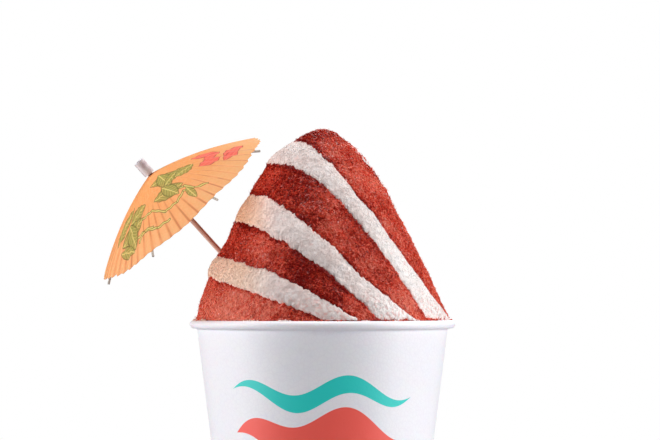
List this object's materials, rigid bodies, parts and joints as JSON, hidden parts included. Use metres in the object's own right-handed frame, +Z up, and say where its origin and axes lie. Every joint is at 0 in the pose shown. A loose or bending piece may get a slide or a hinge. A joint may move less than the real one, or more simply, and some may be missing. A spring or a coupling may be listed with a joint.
{
  "type": "shaved ice dessert in a foam cup",
  "caption": "Foam cup heaped with red shaved ice, crossed by swept white bands, with a pleated paper parasol pick stuck into its side.",
  "frame": {"origin": "centre of the cup's underside, on the surface it stands on", "axes": "+Z up the cup's axis, -Y towards the front that shows the printed side, +X to the right, with the parasol leaning towards -X"},
  "size_m": [0.1543, 0.116, 0.1896],
  "materials": {
    "foam": "smooth moulded foam with a faint bead pattern",
    "red_ice": "wet, granular shaved ice soaked in red syrup",
    "white_ice": "fine, soft white ice",
    "orange_paper": "thin pleated paper with a printed spray of leaves and petals",
    "rolled_paper": "tightly rolled paper strip",
    "card": "pressed card",
    "wood": "plain unvarnished wood"
  },
  "bodies": {
    "root": {"cup": "foam", "red_ice": "red_ice", "white_band_top": "white_ice", "white_band_middle": "white_ice", "white_band_low": "white_ice", "white_band_right": "white_ice", "white_band_back": "white_ice", "parasol_canopy": "orange_paper", "parasol_cap": "rolled_paper", "parasol_stop": "rolled_paper", "parasol_hub": "card", "parasol_runner": "card", "parasol_stick": "wood", "parasol_rib_1": "wood", "parasol_rib_2": "wood", "parasol_rib_3": "wood", "parasol_rib_4": "wood", "parasol_rib_5": "wood", "parasol_rib_6": "wood", "parasol_rib_7": "wood", "parasol_rib_8": "wood", "parasol_strut_1": "wood", "parasol_strut_2": "wood", "parasol_strut_3": "wood", "parasol_strut_4": "wood", "parasol_strut_5": "wood", "parasol_strut_6": "wood", "parasol_strut_7": "wood", "parasol_strut_8": "wood"}
  },
  "joints": []
}
